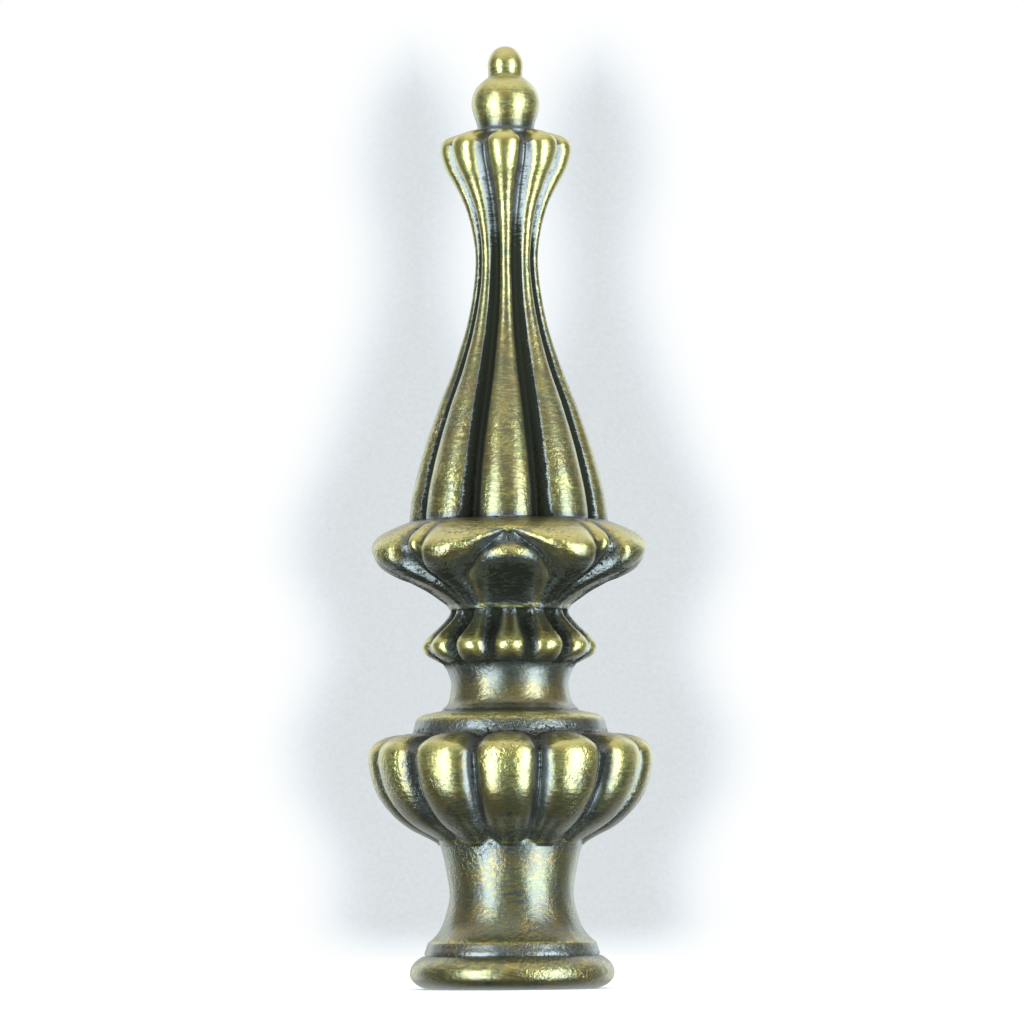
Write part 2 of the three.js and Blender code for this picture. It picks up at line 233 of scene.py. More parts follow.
# Bowl: gadroons, plump at the shoulder and drawn in to a scalloped edge over the pedestal.
# Its keys also hold the shares of the channels' depth and of half the pitch
bowlShape = dict(
    gadroons=12, turn=-1.7, under=5.8, widest=11.46, shoulder=7.85, depth=1.3, edge=0.46, plump=2.2,
    rubbedFrom=0.9, rubbedAt=0.8, rings=48, crowd=0.25,
    scallop=0.42, scallopEnds=0.16, scallopPoint=1.5, edgeLine=0.6, edgeLineEnds=0.035,
    keys=[
        ("under", "widest", 0, -0.02, 0.02, 0.7, 0.6), ("under", "widest", 0.05, 0.01, 0.1, 0.71, 0.3),
        ("under", "widest", 0.2, 0.062, 0.36, 0.74, 0.1), ("under", "widest", 0.434, 0.14, 0.6, 0.79, 0.12),
        ("under", "widest", 0.66, 0.255, 0.78, 0.81, 0.2),
        ("under", "widest", 0.862, 0.422, 0.93, 0.825, 0.42),
        ("under", "widest", 0.96, 0.59, 1, 0.83, 0.56), ("under", "widest", 1, 0.735, 1, 0.83, 0.68),
        ("shoulder", "widest", 0.93, 0.85, 1, 0.83, 0.7),
        ("shoulder", "widest", 0.72, 0.917, 0.95, 0.81, 0.66),
        ("shoulder", "widest", 0.38, 0.957, 0.7, 0.77, 0.3),
        ("shoulder", "widest", 0, 0.965, 0.25, 0.7, 0.05)])


def bowl(s):
    rows = runThrough(keyRows(s, "bowl"), s["rings"], s["crowd"])
    rows = rows * (1, 1, s["depth"], 180 / s["gadroons"], 1)
    r, z, angle, polish = ribbed(rows, s["gadroons"], s)
    # the lower edge hangs in scallops, one to a gadroon, with a painted highlight, a thin bright line,
    # along it
    along = np.linspace(0, 1, len(rows))[:, None]
    between = (1 - np.cos(np.radians((angle - s["turn"]) * s["gadroons"]))) / 2
    raised = s["scallop"] * smoothStep(s["scallopEnds"], 0, along) * between ** s["scallopPoint"]
    edgeLine = s["edgeLine"] * smoothStep(s["edgeLineEnds"], 0, along)
    return r, z + raised, angle, np.maximum(polish, edgeLine)


# Band: a cove from the gadroons' tops up to a rounded edge, and a nearly flat top that runs to the neck
bandShape = dict(
    foot=7.78, cove=7.62, edge=7.28, top=5.5, rings=16, crowd=0,
    keys=[("cove", "foot", 1, 0, 0.05), ("cove", "foot", 0.6, 0.15, 0.15), ("cove", "foot", 0, 0.4, 0.25),
          ("edge", "cove", 0.6, 0.58, 0.7), ("edge", "cove", 0, 0.69, 0.9),
          ("top", "edge", 0.83, 0.79, 0.75), ("top", "edge", 0.5, 0.87, 0.45), ("top", "edge", 0, 1, 0.1)])

# Hollow neck between the band and the collar
scotiaShape = dict(
    foot=5.4, waist=4.72, under=5.05, rings=13, crowd=0,
    keys=[("waist", "foot", 1, 0.05, 0.3), ("waist", "foot", 0.45, 0.15, 0.5),
          ("waist", "foot", 0.15, 0.33, 0.5), ("waist", "foot", 0, 0.6, 0.4),
          ("waist", "under", 1, 0.87, 0.22)])


def plainMoulding(s, moulding):
    return turned(runThrough(keyRows(s, moulding), s["rings"], s["crowd"]))


# Collar: ribs with rounded knuckles, leaning in to a crease under the skirt, with dirt in the channels.
# Its keys are laid out as the bowl's are
collarShape = dict(
    ribs=12, turn=0, under=5.15, knuckle=7.02, top=4.7, depth=1.15, edge=0.6, plump=2.0,
    rubbedFrom=0.8, rubbedAt=0.6, rings=29, crowd=0.1, dirt=0.35, dirtUnder=0.2,
    keys=[("under", "knuckle", 0.12, 0, 0.03, 0.68, 0.1), ("under", "knuckle", 0.4, 0.06, 0.3, 0.7, 0.1),
          ("under", "knuckle", 0.76, 0.14, 0.68, 0.66, 0.3),
          ("under", "knuckle", 0.95, 0.235, 0.92, 0.67, 0.65),
          ("under", "knuckle", 1, 0.33, 1, 0.67, 0.85), ("top", "knuckle", 0.87, 0.44, 0.95, 0.65, 0.8),
          ("top", "knuckle", 0.68, 0.54, 0.9, 0.58, 0.55), ("top", "knuckle", 0.42, 0.66, 0.85, 0.54, 0.42),
          ("top", "knuckle", 0.1, 0.85, 0.6, 0.5, 0.25), ("top", "knuckle", 0, 0.965, 0.25, 0.5, 0.1)])


def collar(s):
    rows = runThrough(keyRows(s, "collar"), s["rings"], s["crowd"])
    rows = rows * (1, 1, s["depth"], 180 / s["ribs"], 1)
    r, z, angle, polish = ribbed(rows, s["ribs"], s, towardsAxis=True)
    return r, z, angle, polish - s["dirt"] * smoothStep(s["dirtUnder"], 0, polish)


# Skirt: four big lobes, each two cheeks with a cleft at the top and a bud under it, and a small lobe in
# every gap. Key rows run from the collar up; each pair is radius and height over the skirt's foot, for
# the cheek's crest, the bud's middle, the crease round the bud, the small lobe and the gap beside it,
# then the bud's and the lobe's half widths in degrees, and the polish of the cheeks and of the bud, which
# below 0, on the lobes' undersides, is painted shade. The heights are drawn for a skirt 7.3 mm high
skirtShape = dict(
    lobes=4, budShare=0.36, cheekShare=0.46, drawnHeight=7.3, rings=57, crowd=0.1,
    # powers of the bud's dome, and of the cheek's rise from the crease and its fall into the gap
    budDome=2.6, cheekRise=(2.0, 0.55), cheekFall=(3.6, 1 / 3),
    # painted highlights: a sheen on the bud's lower bevel and a bright line along the lowest edge; and the
    # rubbed cushion over the notch
    bevel=0.42, bevelFrom=(0.65, 0.84), bevelTo=(1, 0.93), bevelTop=(4.0, 3.4), edgeLine=0.4,
    edgeLineTop=0.3, notch=5.7, cushion=6.02,
    budRubbed=(0.7, 0.3), cheekRubbed=(0.45, 0.95), smallRubbed=(0.3, 0.85),
    keys=[
        (4.88, 0.00, 4.88, 0.00, 4.84, 0.00, 4.88, 0.00, 4.84, 0.00, 30.6, 43.5, 0.5, 0.5),
        (5.12, 0.28, 5.02, 0.26, 4.92, 0.28, 5.20, 0.28, 5.02, 0.28, 30.5, 43.2, -0.1, -0.1),
        (5.80, 0.73, 5.55, 0.66, 5.31, 0.73, 5.75, 0.73, 5.35, 0.73, 29.5, 42.7, -0.3, -0.35),
        (7.25, 1.50, 6.60, 1.40, 6.12, 1.50, 6.95, 1.58, 6.30, 1.50, 28.5, 41.8, -0.4, -0.4),
        (9.0, 2.15, 7.95, 2.10, 6.90, 2.18, 8.05, 2.30, 7.20, 2.22, 28.0, 40.8, -0.42, -0.42),
        (10.6, 2.76, 9.20, 2.78, 7.70, 2.84, 9.40, 3.08, 8.15, 2.92, 24.0, 40.2, -0.35, -0.45),
        (11.62, 3.46, 10.10, 3.48, 8.30, 3.58, 10.40, 3.84, 8.91, 3.70, 18.6, 40.0, 0.08, -0.1),
        (11.92, 4.24, 10.32, 4.16, 9.02, 4.28, 10.95, 4.50, 9.30, 4.42, 13.2, 39.8, 0.4, 0.85),
        (11.72, 4.86, 9.90, 4.86, 9.50, 4.90, 11.00, 5.03, 9.34, 4.98, 8.6, 39.8, 0.72, 0.1),
        (11.18, 5.42, 9.98, 5.45, 9.92, 5.52, 10.60, 5.58, 9.20, 5.48, 3.6, 39.8, 0.78, 0.05),
        (10.34, 5.98, 10.31, 5.96, 10.30, 5.96, 9.85, 6.08, 8.84, 5.98, 1.2, 39.8, 0.74, 0.74),
        (9.30, 6.47, 9.28, 6.46, 9.28, 6.46, 9.00, 6.54, 8.45, 6.46, 1.2, 39.8, 0.68, 0.68),
        (8.05, 6.93, 8.05, 6.93, 8.05, 6.93, 8.05, 6.93, 8.05, 6.93, 2.0, 39.8, 0.05, 0.05)])


# Across a lobe the radius and the height go from the bud's middle to its crease as a dome, over the
# cheek's crest to the gap as a swell of two powers, and over half of the small lobe as a half round
def skirt(s):
    rows = runThrough(s["keys"], s["rings"], s["crowd"])
    (cheekR, cheekZ, budR, budZ, creaseR, creaseZ, smallR, smallZ, gapR, gapZ, bud, lobe, cheekPolishAndShade,
     budPolishAndShade) = rows.T[:, :, None]
    perLobe = columns // s["lobes"]
    f = np.arange(columns) % perLobe / perLobe * 2
    side = np.where(f > 1, -1, 1)
    f = np.minimum(f, 2 - f)[None, :]
    pitch = 360 / s["lobes"]
    middle = (np.arange(columns) // perLobe + (side < 0)) * pitch
    # shares across the bud, the cheek and the small lobe, each from 0 to 1
    smallFrom = s["budShare"] + s["cheekShare"]
    x = np.clip(f / s["budShare"], 0, 1)
    y = np.clip((f - s["budShare"]) / s["cheekShare"], 0, 1)
    w = np.clip((f - smallFrom) / (1 - smallFrom), 0, 1)
    offset = x * bud + y * (lobe - bud) + w * (pitch / 2 - lobe)
    face = np.sqrt(1 - x ** s["budDome"])
    rise, fall = ((1 - np.abs(2 * y - 1) ** inner) ** outer
                  for inner, outer in (s["cheekRise"], s["cheekFall"]))
    swell = np.where(y < 0.5, rise, fall)
    halfRound = np.sqrt(np.clip(1 - (1 - w) ** 2, 0, 1))
    onBud, onSmall = f <= s["budShare"], w > 0

    def across(cheek, budMiddle, crease, small, gap):
        value = mix(mix(crease, gap, y), cheek, swell)
        value = np.where(onBud, mix(crease, budMiddle, face), value)
        return np.where(onSmall, mix(gap, small, halfRound), value)

    r = across(cheekR, budR, creaseR, smallR, gapR)
    z = across(cheekZ, budZ, creaseZ, smallZ, gapZ)
    angle = middle[None, :] + side[None, :] * offset
    # painted sheen along the bud's bevel, and a painted highlight line along the lowest edge
    bevel = smoothStep(*s["bevelFrom"], x) * smoothStep(*s["bevelTo"], x) * smoothStep(*s["bevelTop"], z)
    edgeLine = s["edgeLine"] * smoothStep(s["edgeLineTop"], 0, z)
    # over the notch the two cheeks are one cushion, rubbed right across
    cushion = smoothStep(s["notch"], s["cushion"], z) * (y < 0.5)
    # values below 0 on the bud and the cheeks are painted shade under the lobes
    budPolishAndShade = np.where(z < s["notch"], budPolishAndShade * smoothStep(*s["budRubbed"], x), cheekPolishAndShade)
    polish = np.where(onBud, budPolishAndShade + s["bevel"] * bevel + edgeLine,
                      cheekPolishAndShade * np.maximum(smoothStep(*s["cheekRubbed"], swell), cushion))
    polish = np.where(onSmall, cheekPolishAndShade * smoothStep(*s["smallRubbed"], halfRound), polish)
    return r, start["skirt"] + z * heights["skirt"] / s["drawnHeight"], angle, polish


# Spire and crown: one run of ribs, broad on the skirt, thin at the neck, turned over into fingertips
# round the knob. The keys of the spire and the crown are the share of the way out from the neck, the
# share of the height, the rib's half width in degrees and the polish. The tips' shares go out from the
# seat, and a share of the depth follows them
spireShape = dict(
    ribs=8, turn=-2, foot=7.95, neck=2.54, crown=5.3, seat=2.5,
    footDepth=1.55, neckDepth=0.6, crownDepth=1.1,
    edge=0.55, plump=2.0, rubbedFrom=0.55, rubbedAt=0.45, rings=88, crowd=0,
    # dull dirt in the channels, from halfway up the crown down, where the polish is low
    dirt=0.75, dirtBelow=(0.5, -0.25), dirtUnder=(0.5, 0.34),
    spireKeys=[(1.01, -0.028, 16.5, 0.35), (1, 0.02, 16.5, 0.5), (0.93, 0.124, 16.4, 0.57),
               (0.784, 0.261, 16, 0.58), (0.58, 0.415, 15, 0.56), (0.344, 0.568, 13.5, 0.55),
               (0.153, 0.721, 12.3, 0.55), (0.03, 0.876, 11.5, 0.58)],
    crownKeys=[(0, 0, 11.3, 0.62), (0.074, 0.189, 11.6, 0.66), (0.254, 0.38, 12.2, 0.7),
               (0.583, 0.57, 13.2, 0.75), (0.859, 0.698, 14.2, 0.8), (1, 0.827, 15, 0.82),
               (0.945, 0.906, 15.5, 0.85)],
    tipKeys=[(0.79, 0.94, 0.9, 15.5, 0.85), (0.5, 0.97, 0.75, 14.5, 0.7), (0.18, 0.985, 0.45, 13, 0.2),
             (0, 0.975, 0.2, 12, 0.05)])


def spireAndCrown(s):
    def fromNeck(end, moulding, keys):
        return [(mix(s["neck"], s[end], out), start[moulding] + heights[moulding] * up,
                 mix(s["neckDepth"], s[end + "Depth"], out), half, polish)
                for out, up, half, polish in keys]

    tips = [(mix(s["seat"], s["crown"], out), start["crown"] + heights["crown"] * up,
             depth * s["crownDepth"], half, polish) for out, up, depth, half, polish in s["tipKeys"]]
    keys = fromNeck("foot", "spire", s["spireKeys"]) + fromNeck("crown", "crown", s["crownKeys"]) + tips
    r, z, angle, polish = ribbed(runThrough(keys, s["rings"], s["crowd"]), s["ribs"], s)
    upCrown = (z - start["crown"]) / heights["crown"]
    dirt = s["dirt"] * smoothStep(*s["dirtBelow"], upCrown) * smoothStep(*s["dirtUnder"], polish)
    return r, z, angle, polish - dirt


# Knob on a small fillet, and the ball on it, an upright ellipse whose lowest part is in the knob
knobShape = dict(
    fillet=2.42, seat=2.24, widest=2.74, ballSeat=1.36, rings=22, crowd=0.1,
    keys=[("seat", "fillet", 1, -0.1, 0.05), ("seat", "widest", 0.42, -0.02, 0.15),
          ("seat", "widest", 0.1, 0.03, 0.25), ("seat", "widest", 0.2, 0.12, 0.5),
          ("seat", "widest", 0.73, 0.31, 0.65), ("seat", "widest", 1, 0.49, 0.7),
          ("ballSeat", "widest", 0.85, 0.71, 0.72), ("ballSeat", "widest", 0.5, 0.855, 0.85),
          ("ballSeat", "widest", 0, 0.985, 0.9)],
    ball=1.42, ballMiddle=0.36, ballTurn=(-15, 89.2), ballRings=16, ballPolish=0.85)


def knobAndBall(s):
    knob = runThrough(keyRows(s, "knob"), s["rings"], s["crowd"])
    turn = np.radians(np.linspace(*s["ballTurn"], s["ballRings"]))
    middle = mix(start["ball"], top, s["ballMiddle"])
    polish = np.full(len(turn), s["ballPolish"])
    ball = np.stack([s["ball"] * np.cos(turn), middle + (top - middle) * np.sin(turn), polish], 1)
    return turned(np.concatenate([knob, ball]))


# Slow waves of a hand-finished pattern, a hundredth or two of a millimetre, and the relief of each point:
# how far it stands out along the normal from the average of its close surroundings. A wave is its rates
# along x, y and z in radians to a millimetre, and its phase: the first two are multiplied, the others
# added with their sizes
handmadeShape = dict(
    wave=0.012, product=[(1.1, 0, 0.7, 1.0), (0, 1.3, -0.45, 0)],
    added=[(2.3, -1.9, 0.9, 2, 0.6), (2.7, 3.1, 1.7, 0, 0.4)],
    # what stays true: the hole, the underside and the middle of the ball's top
    trueRings=40, trueHeight=0.05, trueRadius=1.2,
    # passes of blurring, a point's own weight round the axis and up it, and the relief's size and limit
    near=5, ownRound=4.5, ownUp=2, relief=2.5, greatest=0.25)


def handmade(grid, s):
    du = np.roll(grid, -1, 1) - np.roll(grid, 1, 1)
    dv = np.gradient(grid, axis=0)
    normal = np.cross(du, dv)
    normal /= np.linalg.norm(normal, axis=-1, keepdims=True) + tiny

    def ripple(alongX, alongY, alongZ, phase, size=1):
        return size * np.sin(grid @ (alongX, alongY, alongZ) + phase)

    first, second = (ripple(*rates) for rates in s["product"])
    wave = first * second + sum(ripple(*rates) for rates in s["added"])
    offAxis = np.hypot(grid[..., 0], grid[..., 1]) > s["trueRadius"]
    inside = (grid[..., 2] > s["trueHeight"]) & offAxis & (np.arange(len(grid))[:, None] > s["trueRings"])
    grid = grid + normal * (wave * inside * s["wave"])[..., None]
    blurred = grid
    for _ in range(s["near"]):
        blurred = np.roll(blurred, 1, 1) + np.roll(blurred, -1, 1) + s["ownRound"] * blurred
        blurred = blurred / (2 + s["ownRound"])
        padded = np.concatenate([blurred[:1], blurred, blurred[-1:]])
        blurred = (padded[:-2] + padded[2:] + s["ownUp"] * blurred) / (2 + s["ownUp"])
    out = ((grid - blurred) * normal).sum(-1)
    return grid, np.clip(out * s["relief"], -s["greatest"], s["greatest"])


# Joins the mouldings' rings into one grid and closes it with a point on the axis at each end
castingShape = dict(dullest=-0.6, holeEndPolish=0.3, topPolish=1)


def makeCasting(s):
    parts = [foot(footShape), pedestal(pedestalShape), bowl(bowlShape), plainMoulding(bandShape, "band"),
             plainMoulding(scotiaShape, "scotia"), collar(collarShape), skirt(skirtShape),
             spireAndCrown(spireShape), knobAndBall(knobShape)]
    r, z, angle, polish = (np.concatenate(track) for track in zip(*parts))
    a = np.radians(angle)
    grid, relief = handmade(np.stack([r * np.sin(a), -r * np.cos(a), z], -1), handmadeShape)
    rubbed = np.clip(polish + relief, s["dullest"], 1)
    rings = len(grid)
    ring = np.arange(columns)
    following = (ring + 1) % columns
    lower = np.arange(rings - 1)[:, None] * columns
    i, j = lower + ring, lower + following
    quads = np.stack([i, j, j + columns, i + columns], -1).reshape(-1, 4)
    places = grid.reshape(-1, 3)
    ends = np.array([[0, 0, places[:columns, 2].mean()], [0, 0, top]])
    holeEnd, topEnd = np.full(columns, len(places)), np.full(columns, len(places) + 1)
    upper = (rings - 1) * columns
    caps = np.concatenate([np.stack([holeEnd, following, ring], 1),
                           np.stack([topEnd, ring + upper, following + upper], 1)])
    mesh = bpy.data.meshes.new("casting")
    mesh.from_pydata(np.concatenate([places, ends]) * mm, [], quads.tolist() + caps.tolist())
    mesh.polygons.foreach_set("use_smooth", np.ones(len(mesh.polygons), bool))
    # the polish, with its wear, painted shade and painted highlights, goes onto the mesh as an attribute
    worn = mesh.attributes.new("rubbed", "FLOAT", "POINT")
    rubbed = np.concatenate([rubbed.ravel(), [s["holeEndPolish"], s["topPolish"]]])
    worn.data.foreach_set("value", rubbed.astype(np.float32))
    mesh.update()
    piece = bpy.data.objects.new("finial_casting", mesh)
    bpy.context.scene.collection.objects.link(piece)
    print("casting: %d rings, %d faces" % (rings, len(mesh.polygons)))
    return piece


# One shader value: wraps a node's output, so that sums on it add Math nodes
class Value:
    def __init__(self, shader, socket):
        self.shader = shader
        self.socket = socket

    def maths(self, operation, *others):
        sockets = {"i%d" % place: value for place, value in enumerate((self, *others))}
        return self.shader.add("ShaderNodeMath", dict(operation=operation), 0, **sockets)

    def __add__(self, other):
        return self.maths("ADD", other)

    def __sub__(self, other):
        return self.maths("SUBTRACT", other)

    def __mul__(self, other):
        return self.maths("MULTIPLY", other)

    def __truediv__(self, other):
        return self.maths("DIVIDE", other)

    def __pow__(self, other):
        return self.maths("POWER", other)

    def __abs__(self):
        return self.maths("ABSOLUTE")

    def __radd__(self, other):
        return self + other

    def __rmul__(self, other):
        return self * other

    def __rsub__(self, other):
        return self * -1 + other

    # a noise runs from 0 to 1, so this one runs evenly to both sides of 0
    def centred(self):
        return self - 0.5

    # 0 up to low, 1 from high on and a smooth cubic between
    def between(self, low, high):
        return self.shader.add("ShaderNodeMapRange", dict(interpolation_type="SMOOTHSTEP"), 0, Value=self,
                               From_Min=low, From_Max=high)


# A node tree, with one method that adds any node: its type, settings, which output is wanted, and its
# sockets by name, with _ for a space, or by number, as i0
class Shader:
    def __init__(self, tree):
        self.tree = tree
        tree.nodes.clear()

    def connect(self, socket, value):
        if isinstance(value, Value):
            self.tree.links.new(value.socket, socket)
        else:
            socket.default_value = value

    def add(self, kind, settings=None, out=0, **sockets):
        node = self.tree.nodes.new(kind)
        for name, value in (settings or {}).items():
            setattr(node, name, value)
        for name, value in sockets.items():
            place = int(name[1:]) if name[0] == "i" and name[1:].isdigit() else name.replace("_", " ")
            self.connect(node.inputs[place], value)
        return Value(self, node.outputs[out])

    def blend(self, factor, a, b):
        return self.add("ShaderNodeMix", dict(data_type="RGBA"), 2, i0=factor, i6=a, i7=b)

    # noise as three numbers: scale, detail and roughness
    def noise(self, vector, look):
        scale, detail, rough = look
        return self.add("ShaderNodeTexNoise", None, 0, Vector=vector, Scale=scale, Detail=detail,
                        Roughness=rough)

    def curve(self, value, points):
        curved = self.add("ShaderNodeFloatCurve", None, 0, Value=value)
        mapping = curved.socket.node.mapping
        line = mapping.curves[0]
        line.points[0].location, line.points[1].location = points[0], points[-1]
        for point in points[1:-1]:
            line.points.new(*point)
        mapping.update()
        return curved

    def stretched(self, vector, along, across, lean):
        leant = self.add("ShaderNodeVectorRotate", dict(rotation_type="Y_AXIS"), 0, Vector=vector,
                         Angle=lean)
        return self.add("ShaderNodeMapping", None, 0, Vector=leant, Scale=(along, along, across))

    def output(self, surface, kind="ShaderNodeOutputMaterial"):
        node = self.tree.nodes.new(kind)
        self.tree.links.new(surface.socket, node.inputs["Surface"])


# Antique brass: gold where it is rubbed, olive and brown on the way down, nearly black in the hollows and
# dull where dirt fills them, under a lacquer that the dirt covers. The same dull dark is painted shade on
# the skirt's undersides, and bright polish paints highlights on the bud's bevel and along the lowest
# edges. Its shine is the rubbed attribute with noises added to it
brassLook = dict(
    # dirt is the colour of dull dirt in the channels and of the painted shade on the skirt's undersides
    gold=(0.42, 0.372, 0.108, 1), warm=(0.38, 0.275, 0.05, 1), brown=(0.17, 0.12, 0.032, 1),
    olive=(0.13, 0.12, 0.04, 1), black=(0.008, 0.010, 0.005, 1), dirt=(0.019, 0.020, 0.010, 1), warmth=0.8,
    blackMetallic=0.2, goldMetallic=0.85, dirtMetallic=0.92, ior=2.1,
    goldRough=0.31, blackRough=0.34, dirtRough=0.75, strokeRough=0.2,
    lacquer=0.62, lacquerRough=0.3, lacquerIor=1.74,
    # brush strokes: scales along and across them, lean in radians where they lean, and how far they sway
    strokeLength=1500, strokeWidth=7500, strokeLean=0.6, sway=1 * mm,
    # noises, each with scale, detail and roughness
    brush=(1.0, 2.0, 0.6), bend=(250, 1.0, 0.5), patches=(330, 3.0, 0.6), skin=(3100, 2.0, 0.4),
    grain=(3700, 1.5, 0.5), stains=(800, 3.0, 0.65), wear=(420, 2.0, 0.6), pitting=(170, 2.0, 0.5),
    # from where to where on a noise each of these comes in; no pits above the heights in smoothHeight
    leanFrom=(0.5, 0.6), pittedFrom=(0.44, 0.58), pitFrom=(0.58, 0.68), smoothHeight=(60 * mm, 66 * mm),
    brownFrom=(0.38, 0.64), warmFrom=(0.45, 0.7),
    # from where to where on the shine each of these comes in
    cleanFrom=(-0.45, 0.05), oliveFrom=(0.1, 0.5), goldFrom=(0.42, 0.95), metalFrom=(0.0, 0.48),
    smoothFrom=(0.2, 0.8),
    # what each noise adds to the shine, or takes away
    patchShine=0.4, strokeShine=0.95, grainShine=0.28, stainShine=0.45, pitShine=0.45,
    # and to the bumps, whose skin is rougher where it is pitted
    strokeBump=0.38, skinBump=1.0, pittedBump=2.4, pitBump=0.9, bumpStrength=0.5, bumpDistance=0.06 * mm)


def antiqueBrass(look):
    material = bpy.data.materials.new("antique_brass")
    material.use_nodes = True
    s = Shader(material.node_tree)
    place = s.add("ShaderNodeTexCoord", None, 3)
    rubbed = s.add("ShaderNodeAttribute", dict(attribute_name="rubbed"), 2)
    # the strokes run round the object, sway where a slow noise bends the place, and lean in patches
    sway = s.add("ShaderNodeCombineXYZ", None, 0, Z=s.noise(place, look["bend"]).centred() * look["sway"])
    bent = s.add("ShaderNodeVectorMath", dict(operation="ADD"), 0, i0=place, i1=sway)
    long, fine = look["strokeLength"], look["strokeWidth"]
    level, leaning = (s.noise(s.stretched(bent, long, fine, lean), look["brush"])
                      for lean in (0, look["strokeLean"]))
    patches = s.noise(place, look["patches"])
    strokes = level + (leaning - level) * patches.between(*look["leanFrom"])
    skin = s.noise(place, look["skin"])
    height = s.add("ShaderNodeSeparateXYZ", None, 2, Vector=place)
    pitted = s.noise(place, look["pitting"]).between(*look["pittedFrom"])
    pitted = pitted * (1 - height.between(*look["smoothHeight"]))
    grain = s.noise(place, look["grain"])
    pits = grain.between(*look["pitFrom"]) * pitted
    stains = s.noise(place, look["stains"])
    shine = rubbed + patches.centred() * look["patchShine"] + strokes.centred() * look["strokeShine"]
    shine = shine + grain.centred() * look["grainShine"] + stains.centred() * look["stainShine"]
    shine = shine - pits * look["pitShine"]
    worn = s.blend(s.noise(place, look["wear"]).between(*look["brownFrom"]), look["olive"], look["brown"])
    colour = s.blend(shine.between(*look["oliveFrom"]), look["black"], worn)
    gold = s.blend(stains.between(*look["warmFrom"]) * look["warmth"], look["gold"], look["warm"])
    colour = s.blend(shine.between(*look["goldFrom"]), colour, gold)
    # dull dark for dirt in the channels, and painted shade on the skirt's undersides where the polish is
    # below 0
    dirtAndShade = 1 - shine.between(*look["cleanFrom"])
    colour = s.blend(dirtAndShade, colour, look["dirt"])
    metallic = mix(look["blackMetallic"], look["goldMetallic"], shine.between(*look["metalFrom"]))
    metallic = mix(metallic, look["dirtMetallic"], dirtAndShade)
    rough = mix(look["blackRough"], look["goldRough"], shine.between(*look["smoothFrom"]))
    rough = mix(rough + strokes.centred() * look["strokeRough"], look["dirtRough"], dirtAndShade)
    bumps = strokes * look["strokeBump"] + skin * (look["skinBump"] + look["pittedBump"] * pitted)
    bump = s.add("ShaderNodeBump", None, 0, Strength=look["bumpStrength"], Distance=look["bumpDistance"],
                 Height=bumps - pits * look["pitBump"])
    s.output(s.add("ShaderNodeBsdfPrincipled", None, 0, Base_Color=colour, Metallic=metallic,
                   Roughness=rough, IOR=look["ior"], Normal=bump, Coat_Weight=look["lacquer"] * (1 - dirtAndShade),
                   Coat_Roughness=look["lacquerRough"], Coat_IOR=look["lacquerIor"]))
    return material


casting = makeCasting(castingShape)
casting.data.materials.append(antiqueBrass(brassLook))
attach(casting, "root")
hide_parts("finial")
print("casting dressed")


# Pale floor, level with the flat underside, that fades into the white room a hand's breadth away
floorLook = dict(radius=0.5, sides=96, colour=(0.93, 0.93, 0.93, 1), rough=0.8, glow=0.25,
                 fade=(0.05, 0.25))


def makeFloor(look):
    steps = np.radians(np.arange(look["sides"]) * 360 / look["sides"])
    ring = np.stack([look["radius"] * np.cos(steps), look["radius"] * np.sin(steps), 0 * steps], 1)
    mesh = bpy.data.meshes.new("floor")
    mesh.from_pydata(ring, [], [list(range(look["sides"]))])
    floor = bpy.data.objects.new("floor", mesh)
    bpy.context.scene.collection.objects.link(floor)
    material = bpy.data.materials.new("floor")
    material.use_nodes = True
    s = Shader(material.node_tree)
    place = s.add("ShaderNodeTexCoord", None, 3)
    away = s.add("ShaderNodeVectorMath", dict(operation="LENGTH"), 1, i0=place)
    near = s.add("ShaderNodeBsdfPrincipled", None, 0, Base_Color=look["colour"], Roughness=look["rough"],
                 Specular_IOR_Level=0.0, Emission_Color=look["colour"], Emission_Strength=look["glow"])
    gone = s.add("ShaderNodeBsdfTransparent")
    s.output(s.add("ShaderNodeMixShader", None, 0, i0=away.between(*look["fade"]), i1=near, i2=gone))
    mesh.materials.append(material)
    floor.visible_glossy = False
    floor.visible_diffuse = False
    floor.visible_shadow = False


makeFloor(floorLook)


# Two tall soft boxes in front, left and right of the camera, and two faint ones behind
lights = [
    dict(name="soft_left", azimuth=-42, elevation=-8, distance=0.7, width=0.36, height=1.05, power=9.8),
    dict(name="soft_right", azimuth=50, elevation=-8, distance=0.7, width=0.42, height=1.05, power=10.9),
    dict(name="back_left", azimuth=-140, elevation=8, distance=0.9, width=0.45, height=1.0, power=1.2),
    dict(name="back_right", azimuth=146, elevation=8, distance=0.9, width=0.45, height=1.0, power=1.2),
]
lampColour = (0.83, 1.02, 1.11)


def makeLights(rows):
    for row in rows:
        data = bpy.data.lights.new(row["name"], "AREA")
        data.shape = "RECTANGLE"
        data.size, data.size_y = row["width"], row["height"]
        data.energy = row["power"]
        data.color = lampColour
        lamp = bpy.data.objects.new(row["name"], data)
        a, e = math.radians(row["azimuth"]), math.radians(row["elevation"])
        way = Vector((math.sin(a) * math.cos(e), -math.cos(a) * math.cos(e), math.sin(e)))
        aim = Vector((0, 0, highCorner.z / 2))
        lamp.location = aim + way * row["distance"]
        lamp.rotation_euler = way.to_track_quat("Z", "Y").to_euler()
        lamp.visible_camera = False
        bpy.context.scene.collection.objects.link(lamp)


# Room: pale overhead and behind the finial, dim in front of it, dark below; each colour comes in between
# two shares of a look straight that way
roomLook = dict(
    above=(1.4, 1.42, 1.34, 1), behind=(0.72, 0.76, 0.72, 1), front=(0.10, 0.105, 0.09, 1),
    under=(0.03, 0.034, 0.028, 1), underFrom=(0.0, 0.5), behindFrom=(0.1, 0.75), aboveFrom=(0.3, 1.0))

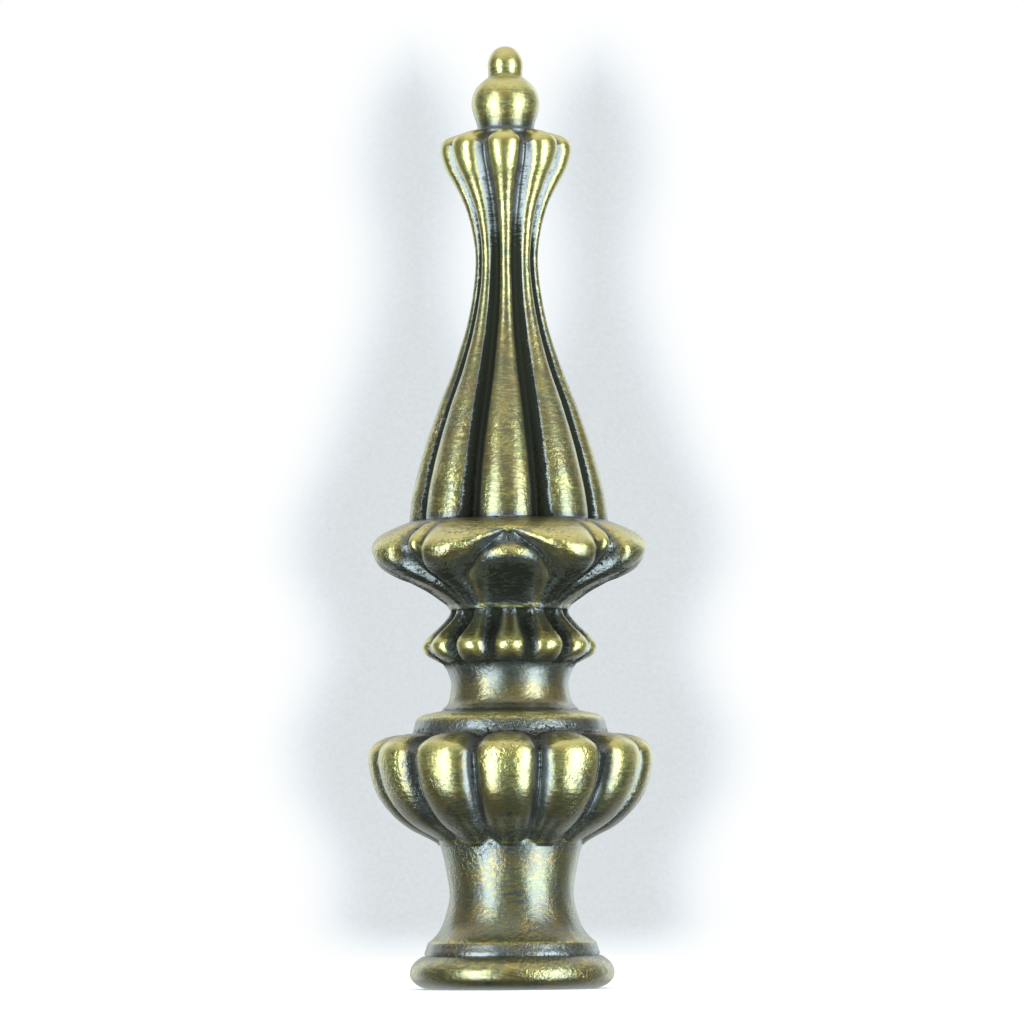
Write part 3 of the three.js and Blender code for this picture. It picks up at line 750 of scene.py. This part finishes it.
# White backdrop straight behind the finial, as the camera sees it, with two painted soft shadows where the
# lamps would throw them: the finial's own outline, moved to each side and a little up
backdropLook = dict(
    behind=12 * mm, aside=7.6 * mm, raised=1.6 * mm, soft=5.5 * mm,
    shade=(0.30, 0.255, 0.235), sharpness=(1.0, 1.3, 1.6),
    # where the shade comes in at its sides, foot and tip, in widths of the soft edge, and straight behind
    sides=(-1, 1), foot=(-0.2, 0.85), tip=(-1, 1), straight=(0.9, 0.95), clean=(0.05, 1),
    grain=(1500, 2.0, 0.6), grainDepth=0.12, outlineSteps=30, outlineReach=0.6)


def backdropWithPaintedShadows(s, way, side, back, up, look):
    # where the look meets the backdrop, and how far that is inside the shifted outline of a painted shadow
    reach = camera["distance"] + look["behind"]
    across = abs(side / back * reach + camera["aimSide"])
    height = up / back * reach + (camera["height"] - look["raised"])
    steps, radii = outline(look)
    widest = max(radii)
    points = [(z / steps[-1], r / widest) for z, r in zip(steps, radii)]
    radius = s.curve(height * (1 / steps[-1]), points) * widest
    sharp = 1 / look["soft"]
    inside = ((radius - abs(across - look["aside"])) * sharp).between(*look["sides"])
    inside = inside * (height * sharp).between(*look["foot"])
    inside = inside * ((steps[-1] - height) * sharp).between(*look["tip"]) * back.between(*look["straight"])
    inside = inside.between(*look["clean"])
    grain = s.noise(way, look["grain"]).centred() * look["grainDepth"]
    red, green, blue = (1 - inside ** power * (depth + grain)
                        for power, depth in zip(look["sharpness"], look["shade"]))
    return s.add("ShaderNodeCombineColor", None, 0, i0=red, i1=green, i2=blue)


# The casting's outline for the painted shadows: its greatest radius at evenly spaced heights, each averaged
# with those near it
def outline(look):
    places = np.empty(len(casting.data.vertices) * 3, np.float32)
    casting.data.vertices.foreach_get("co", places)
    x, y, z = places.reshape(-1, 3).T
    steps = np.linspace(0, z.max(), look["outlineSteps"])
    close = look["outlineReach"] * steps[1]
    radii = np.array([np.hypot(x, y)[abs(z - step) < close].max() for step in steps])
    nearness = np.exp(-((steps[:, None] - steps[None, :]) / look["soft"]) ** 2)
    return steps.tolist(), (nearness @ radii / nearness.sum(1)).tolist()


def makeRoom(look, backdrop):
    world = bpy.data.worlds.new("room")
    bpy.context.scene.world = world
    world.use_nodes = True
    s = Shader(world.node_tree)
    way = s.add("ShaderNodeTexCoord", None, 0)
    side, back, up = (s.add("ShaderNodeSeparateXYZ", None, place, Vector=way) for place in range(3))
    colour = s.blend((-1 * up).between(*look["underFrom"]), look["front"], look["under"])
    colour = s.blend(back.between(*look["behindFrom"]), colour, look["behind"])
    colour = s.blend(up.between(*look["aboveFrom"]), colour, look["above"])
    room = s.add("ShaderNodeBackground", None, 0, Color=colour)
    shown = s.add("ShaderNodeBackground", None, 0, Color=backdropWithPaintedShadows(s, way, side, back, up, backdrop))
    seen = s.add("ShaderNodeLightPath", None, 0)
    s.output(s.add("ShaderNodeMixShader", None, 0, i0=seen, i1=room, i2=shown), "ShaderNodeOutputWorld")


makeLights(lights)
makeRoom(roomLook, backdropLook)
bpy.context.scene.view_settings.view_transform = "Standard"
print("floor, lights and room made")
